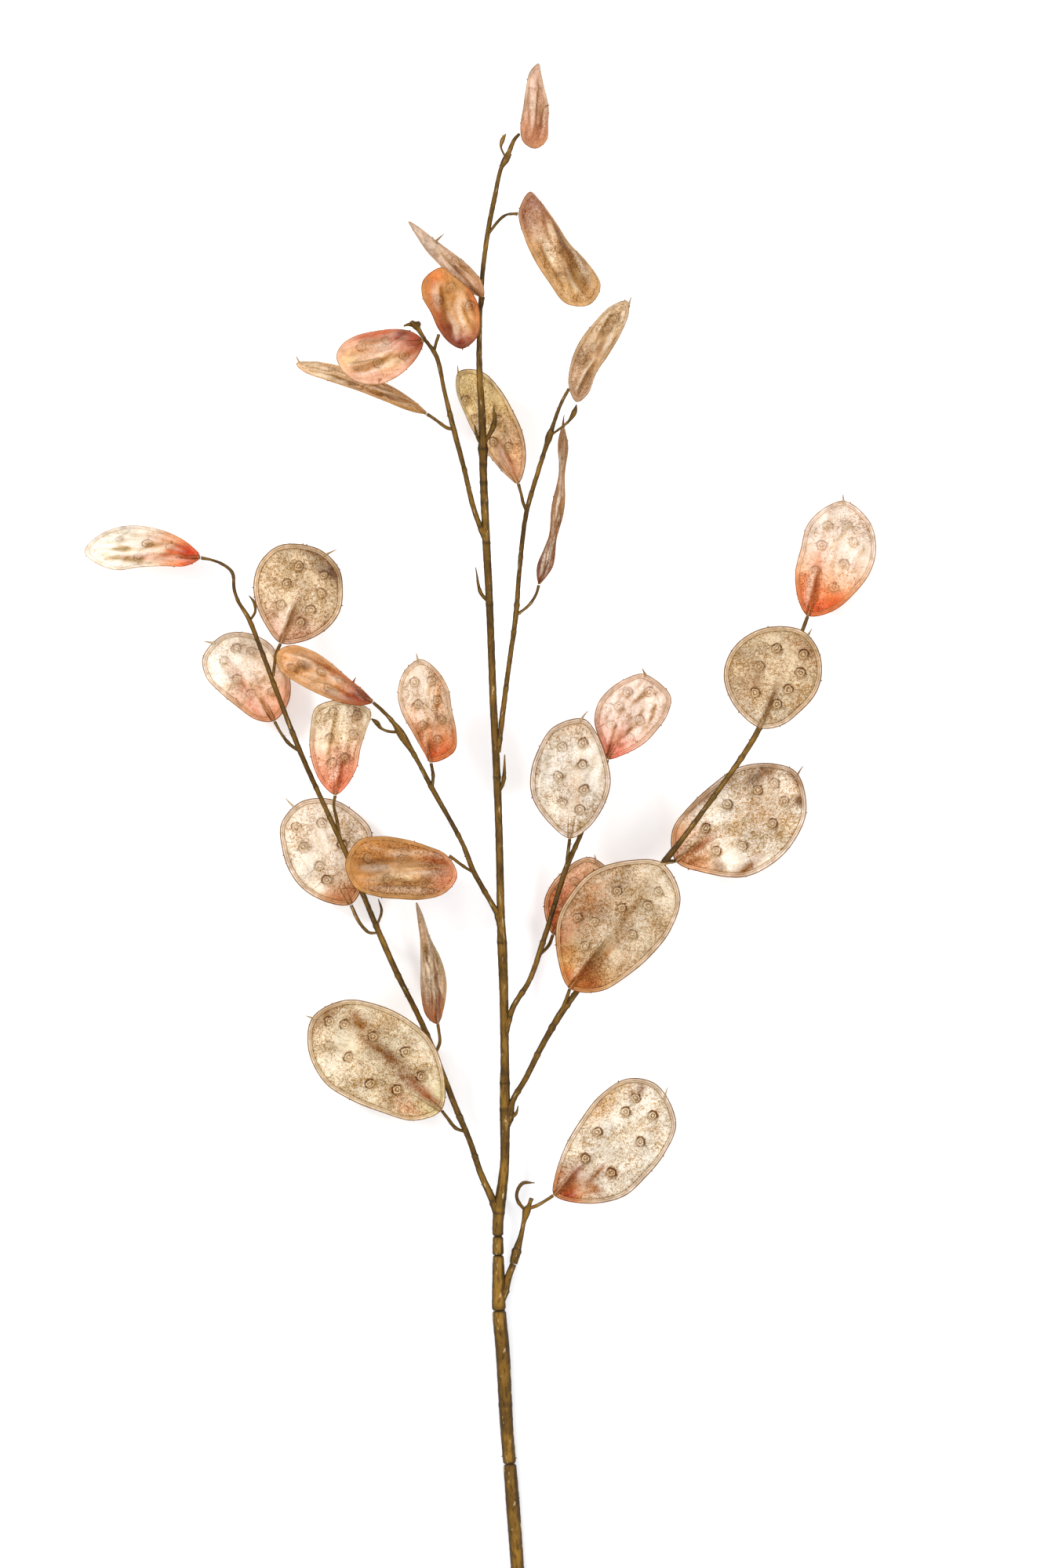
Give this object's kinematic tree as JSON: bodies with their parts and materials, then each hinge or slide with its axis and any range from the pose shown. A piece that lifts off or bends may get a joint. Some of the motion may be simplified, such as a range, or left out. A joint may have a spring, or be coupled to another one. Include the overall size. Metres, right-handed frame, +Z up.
{
  "type": "honesty seed pod stem",
  "caption": "Branching honesty stem lying on a surface, with thin oval seed pods, each with a raised rim, seed bumps, a folded base and a small beak.",
  "frame": {"origin": "on the surface it lies on, under the middle of the spray", "axes": "+Y runs along the main stem from its cut foot to the crown, +Z is up from the surface, +X is to the right of the stem seen from above"},
  "size_m": [0.3541, 0.7467, 0.0582],
  "materials": {
    "stem": "olive brown, satin, with darker joints and pale scuffs",
    "pod_cream": "cream translucent film, satin, with brown stipple and coral at the base",
    "pod_tan": "tan translucent film, satin, with brown stipple",
    "pod_coral": "coral translucent film, satin, with brown stipple"
  },
  "bodies": {
    "root": {"main_stem": "stem", "neck_sleeve": "stem", "fork_sleeve": "stem", "lower_sleeve": "stem", "foot_sleeve": "stem", "branch_top_left": "stem", "branch_top_right": "stem", "branch_mid_left": "stem", "branch_lower_left": "stem", "branch_right_inner": "stem", "branch_right_outer": "stem", "branch_spur": "stem", "pod_crown_1": "pod_coral", "pod_crown_2": "pod_tan", "pod_crown_3": "pod_tan", "pod_top_left_1": "pod_coral", "pod_top_left_2": "pod_coral", "pod_top_left_3": "pod_tan", "pod_top_right_1": "pod_tan", "pod_top_right_2": "pod_tan", "pod_top_right_3": "pod_tan", "pod_mid_left_1": "pod_coral", "pod_mid_left_2": "pod_cream", "pod_mid_left_3": "pod_tan", "pod_lower_left_1": "pod_cream", "pod_lower_left_2": "pod_tan", "pod_lower_left_3": "pod_cream", "pod_lower_left_4": "pod_cream", "pod_lower_left_5": "pod_cream", "pod_lower_left_6": "pod_tan", "pod_lower_left_7": "pod_cream", "pod_right_inner_1": "pod_cream", "pod_right_inner_2": "pod_cream", "pod_right_inner_3": "pod_coral", "pod_right_outer_1": "pod_cream", "pod_right_outer_2": "pod_tan", "pod_right_outer_3": "pod_cream", "pod_right_outer_4": "pod_tan", "pod_spur_1": "pod_cream"}
  },
  "joints": []
}
